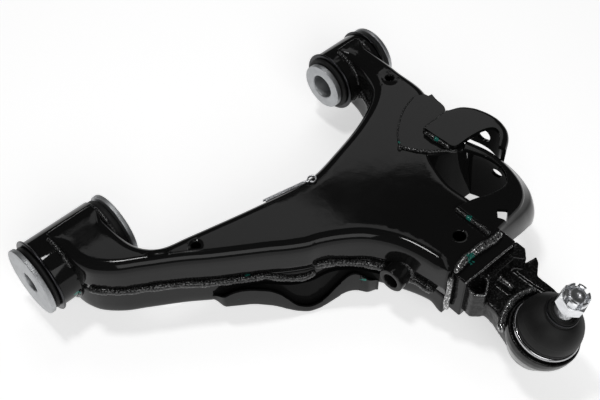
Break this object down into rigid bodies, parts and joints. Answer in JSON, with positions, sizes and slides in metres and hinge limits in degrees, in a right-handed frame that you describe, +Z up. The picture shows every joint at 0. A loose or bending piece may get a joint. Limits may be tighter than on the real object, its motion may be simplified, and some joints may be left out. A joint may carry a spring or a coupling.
{
  "type": "lower control arm",
  "caption": "Boxed steel lower control arm with two rubber bushes, a pocket for the shock absorber and a ball joint with boot and castle nut.",
  "frame": {"origin": "centre of the front bush on the pivot axis", "axes": "+X along the pivot axis from the rear bush to the front bush, +Y outboard to the ball joint, +Z up"},
  "size_m": [0.4523, 0.4325, 0.1376],
  "materials": {
    "black_paint": "gloss black electrocoat on pressed steel",
    "cast_black": "black electrocoat on a rough forging",
    "weld": "rippled weld bead under gloss black electrocoat",
    "housing_steel": "black coated turned steel",
    "dark_steel": "dark oiled steel",
    "grey_steel": "dull grey phosphated steel with rubbed edges",
    "bright_ring": "bright spring steel",
    "bright_zinc": "bright zinc plate",
    "boot_rubber": "satin black moulded rubber",
    "bush_rubber": "matt black moulded rubber",
    "seat_plastic": "natural acetal"
  },
  "bodies": {
    "arm": {"upper_shell": "black_paint", "lower_shell": "black_paint", "front_bush_tube": "black_paint", "rear_bush_tube": "black_paint", "seam_weld_front": "weld", "seam_weld_inner": "weld", "tube_welds": "weld", "shock_base_plate": "black_paint", "horseshoe_strap": "black_paint", "rear_ear_strap": "black_paint", "strap_welds": "weld", "shock_cross_tube": "black_paint", "front_skirt_bracket": "black_paint", "tip_bracket": "black_paint", "tip_weld": "weld", "joint_neck": "cast_black", "joint_cup": "cast_black", "cup_weld": "weld", "joint_housing": "housing_steel", "joint_seat": "seat_plastic", "joint_bottom_cover": "housing_steel", "boot_lower_ring": "bright_ring", "split_pin": "bright_zinc", "front_outer_sleeve": "dark_steel", "front_rubber": "bush_rubber", "rear_outer_sleeve": "dark_steel", "rear_rubber": "bush_rubber"},
    "front_sleeve": {"front_inner_sleeve": "grey_steel", "front_washer_fore": "grey_steel", "front_washer_aft": "grey_steel"},
    "rear_sleeve": {"rear_inner_sleeve": "grey_steel", "rear_washer": "grey_steel"},
    "boot_middle": {"boot": "boot_rubber"},
    "boot_lip": {"boot_upper_ring": "dark_steel", "boot_lip_insert": "boot_rubber"},
    "stud": {"ball_stud": "bright_zinc", "castle_nut": "bright_zinc"}
  },
  "joints": [
    {"name": "front_bush_twist", "type": "hinge", "parent": "arm", "child": "front_sleeve", "pos_m": [0, 0, 0], "axis": [1, 0, 0], "range_deg": [-25, 25], "stiffness_Nm_per_rad": 60},
    {"name": "rear_bush_twist", "type": "hinge", "parent": "arm", "child": "rear_sleeve", "pos_m": [-0.364, 0, 0], "axis": [1, 0, 0], "range_deg": [-25, 25], "stiffness_Nm_per_rad": 45},
    {"name": "stud_swing_travel", "type": "hinge", "parent": "arm", "child": "boot_middle", "pos_m": [-0.25532, 0.35834, -0.00779], "axis": [0.9962, 0, 0.0872], "range_deg": [-22, 22], "deforming": ["boot"]},
    {"name": "stud_swing_caster", "type": "hinge", "parent": "boot_middle", "child": "boot_lip", "pos_m": [-0.25532, 0.35834, -0.00779], "axis": [0.0181, 0.9781, -0.2071], "range_deg": [-12, 12]},
    {"name": "stud_spin", "type": "hinge", "parent": "boot_lip", "child": "stud", "pos_m": [-0.25532, 0.35834, -0.00779], "axis": [-0.0853, 0.2079, 0.9744], "continuous": true}
  ]
}
